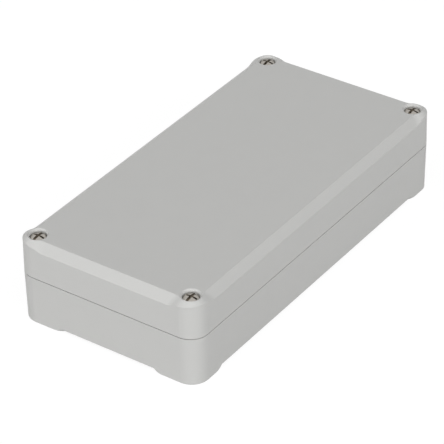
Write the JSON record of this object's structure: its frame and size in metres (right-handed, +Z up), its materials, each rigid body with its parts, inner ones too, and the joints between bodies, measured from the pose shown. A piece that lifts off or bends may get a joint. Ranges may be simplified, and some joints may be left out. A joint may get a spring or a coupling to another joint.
{
  "type": "plastic instrument enclosure",
  "caption": "Flat rectangular moulded plastic enclosure with a bevelled lid, captive corner screws, a gasket seal, moulded feet and board pillars.",
  "frame": {"origin": "centre of the underside of the feet", "axes": "+X along the case's length, +Y across its width, +Z up through the lid"},
  "size_m": [0.1604, 0.08, 0.035],
  "materials": {
    "housing": "fine spark-eroded matt",
    "screw": "plain stainless",
    "insert": "turned",
    "seal": "matt"
  },
  "bodies": {
    "base": {"base": "housing", "thread_insert_front_left": "insert", "thread_insert_front_right": "insert", "thread_insert_back_left": "insert", "thread_insert_back_right": "insert"},
    "lid": {"lid": "housing", "gasket": "seal"},
    "seal_front_left": {"head_seal_front_left": "seal"},
    "screw_front_left": {"lid_screw_front_left": "screw"},
    "seal_front_right": {"head_seal_front_right": "seal"},
    "screw_front_right": {"lid_screw_front_right": "screw"},
    "seal_back_left": {"head_seal_back_left": "seal"},
    "screw_back_left": {"lid_screw_back_left": "screw"},
    "seal_back_right": {"head_seal_back_right": "seal"},
    "screw_back_right": {"lid_screw_back_right": "screw"}
  },
  "joints": [
    {"name": "lid_lift", "type": "slide", "parent": "base", "child": "lid", "axis": [0, 0, 1], "range_m": [0, 0.05]},
    {"name": "screw_front_left_travel", "type": "slide", "parent": "lid", "child": "seal_front_left", "axis": [0, 0, 1], "range_m": [0, 0.007]},
    {"name": "screw_front_left_turn", "type": "hinge", "parent": "seal_front_left", "child": "screw_front_left", "pos_m": [-0.07375, -0.0338, 0.03], "axis": [0, 0, 1], "range_deg": [0, 3600.5]},
    {"name": "screw_front_right_travel", "type": "slide", "parent": "lid", "child": "seal_front_right", "axis": [0, 0, 1], "range_m": [0, 0.007]},
    {"name": "screw_front_right_turn", "type": "hinge", "parent": "seal_front_right", "child": "screw_front_right", "pos_m": [0.07375, -0.0338, 0.03], "axis": [0, 0, 1], "range_deg": [0, 3600.5]},
    {"name": "screw_back_left_travel", "type": "slide", "parent": "lid", "child": "seal_back_left", "axis": [0, 0, 1], "range_m": [0, 0.007]},
    {"name": "screw_back_left_turn", "type": "hinge", "parent": "seal_back_left", "child": "screw_back_left", "pos_m": [-0.07375, 0.0338, 0.03], "axis": [0, 0, 1], "range_deg": [0, 3600.5]},
    {"name": "screw_back_right_travel", "type": "slide", "parent": "lid", "child": "seal_back_right", "axis": [0, 0, 1], "range_m": [0, 0.007]},
    {"name": "screw_back_right_turn", "type": "hinge", "parent": "seal_back_right", "child": "screw_back_right", "pos_m": [0.07375, 0.0338, 0.03], "axis": [0, 0, 1], "range_deg": [0, 3600.5]}
  ],
  "couplings": [
    {"joint": "screw_front_left_turn", "follows": "screw_front_left_travel", "rad_per_m": 8976},
    {"joint": "screw_front_right_turn", "follows": "screw_front_right_travel", "rad_per_m": 8976},
    {"joint": "screw_back_left_turn", "follows": "screw_back_left_travel", "rad_per_m": 8976},
    {"joint": "screw_back_right_turn", "follows": "screw_back_right_travel", "rad_per_m": 8976}
  ]
}
